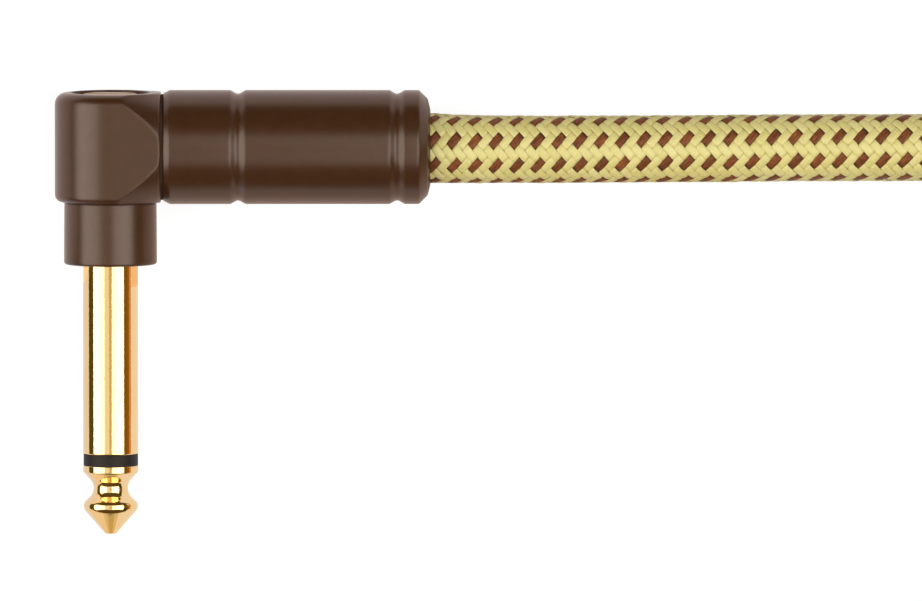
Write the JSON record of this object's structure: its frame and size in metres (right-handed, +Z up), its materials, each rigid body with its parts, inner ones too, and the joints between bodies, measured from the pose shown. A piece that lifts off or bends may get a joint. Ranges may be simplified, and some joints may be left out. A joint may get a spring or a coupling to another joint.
{
  "type": "instrument cable",
  "caption": "Woven-covered instrument cable with an angled jack plug on one end and a straight one on the other, coiled and held by a hook-and-loop tie.",
  "frame": {"origin": "middle of the angle plug's footprint, on the surface that the cable lies on", "axes": "+X along the angle plug's barrel towards the cable, -Y along its plug shaft towards the tip, +Z up"},
  "size_m": [0.2137, 0.1121, 0.036],
  "materials": {
    "housing": "satin bronze-brown plating",
    "gold_contact": "polished gold plating",
    "black_ring": "satin black plastic",
    "woven_cover": "yellow braided yarn with a brown tracer",
    "white_insulation": "smooth",
    "clear_liner": "translucent",
    "fibre": "vulcanised fibre",
    "copper": "bare copper strands",
    "solder": "bright solder",
    "tie_fabric": "black hook-and-loop webbing"
  },
  "bodies": {
    "cable_body": {"head_housing": "housing", "plug_collar": "housing", "plug_sleeve": "gold_contact", "tip_contact": "gold_contact", "tip_ring": "black_ring", "rod_insulator": "white_insulation", "rear_washer": "fibre", "tip_lug": "gold_contact", "joint_seal": "black_ring", "sleeve_terminal": "gold_contact", "cable_end": "woven_cover", "cable_shield": "copper", "shield_pigtail": "copper", "core_insulation": "white_insulation", "core_conductor": "copper", "tip_solder": "solder", "ground_solder": "solder", "cable_lead": "woven_cover", "cable_coil": "woven_cover", "cable_tail": "woven_cover", "coil_tie": "tie_fabric", "tie_flap": "tie_fabric", "far_body": "housing", "far_sleeve": "gold_contact", "far_tip_contact": "gold_contact", "far_tip_ring": "black_ring", "far_rod_insulator": "white_insulation", "far_rear_washer": "fibre", "far_tip_lug": "gold_contact", "far_joint_seal": "black_ring", "far_sleeve_terminal": "gold_contact", "far_cable_end": "woven_cover", "far_shield": "copper", "far_pigtail": "copper", "far_core_insulation": "white_insulation", "far_core_conductor": "copper", "far_tip_solder": "solder", "far_ground_solder": "solder"},
    "barrel_screw": {"barrel": "housing"},
    "barrel_carriage": {"barrel_liner": "clear_liner"},
    "cap_screw": {"access_cap": "gold_contact"},
    "cap_carriage": {"cap_disc": "fibre"},
    "far_barrel_screw": {"far_barrel": "housing"},
    "far_barrel_carriage": {"far_liner": "clear_liner"}
  },
  "joints": [
    {"name": "barrel_travel", "type": "slide", "parent": "cable_body", "child": "barrel_carriage", "axis": [1, 0, 0], "range_m": [0, 0.005]},
    {"name": "barrel_unscrew", "type": "hinge", "parent": "barrel_carriage", "child": "barrel_screw", "pos_m": [-0.00936, 0.01908, 0.00653], "axis": [1, 0, 0], "range_deg": [0, 1800]},
    {"name": "cap_travel", "type": "slide", "parent": "cable_body", "child": "cap_carriage", "axis": [0, 1, 0], "range_m": [0, 0.00225]},
    {"name": "cap_unscrew", "type": "hinge", "parent": "cap_carriage", "child": "cap_screw", "pos_m": [-0.01512, 0.02533, 0.00653], "axis": [0, 1, 0], "range_deg": [0, 1080]},
    {"name": "far_barrel_travel", "type": "slide", "parent": "cable_body", "child": "far_barrel_carriage", "axis": [1, 0, 0], "range_m": [0, 0.005]},
    {"name": "far_barrel_unscrew", "type": "hinge", "parent": "far_barrel_carriage", "child": "far_barrel_screw", "pos_m": [0.01592, -0.07779, 0.00653], "axis": [1, 0, 0], "range_deg": [0, 1800]}
  ],
  "couplings": [
    {"joint": "barrel_travel", "follows": "barrel_unscrew", "m_per_rad": 0.00015915},
    {"joint": "cap_travel", "follows": "cap_unscrew", "m_per_rad": 0.00011936},
    {"joint": "far_barrel_travel", "follows": "far_barrel_unscrew", "m_per_rad": 0.00015915}
  ]
}
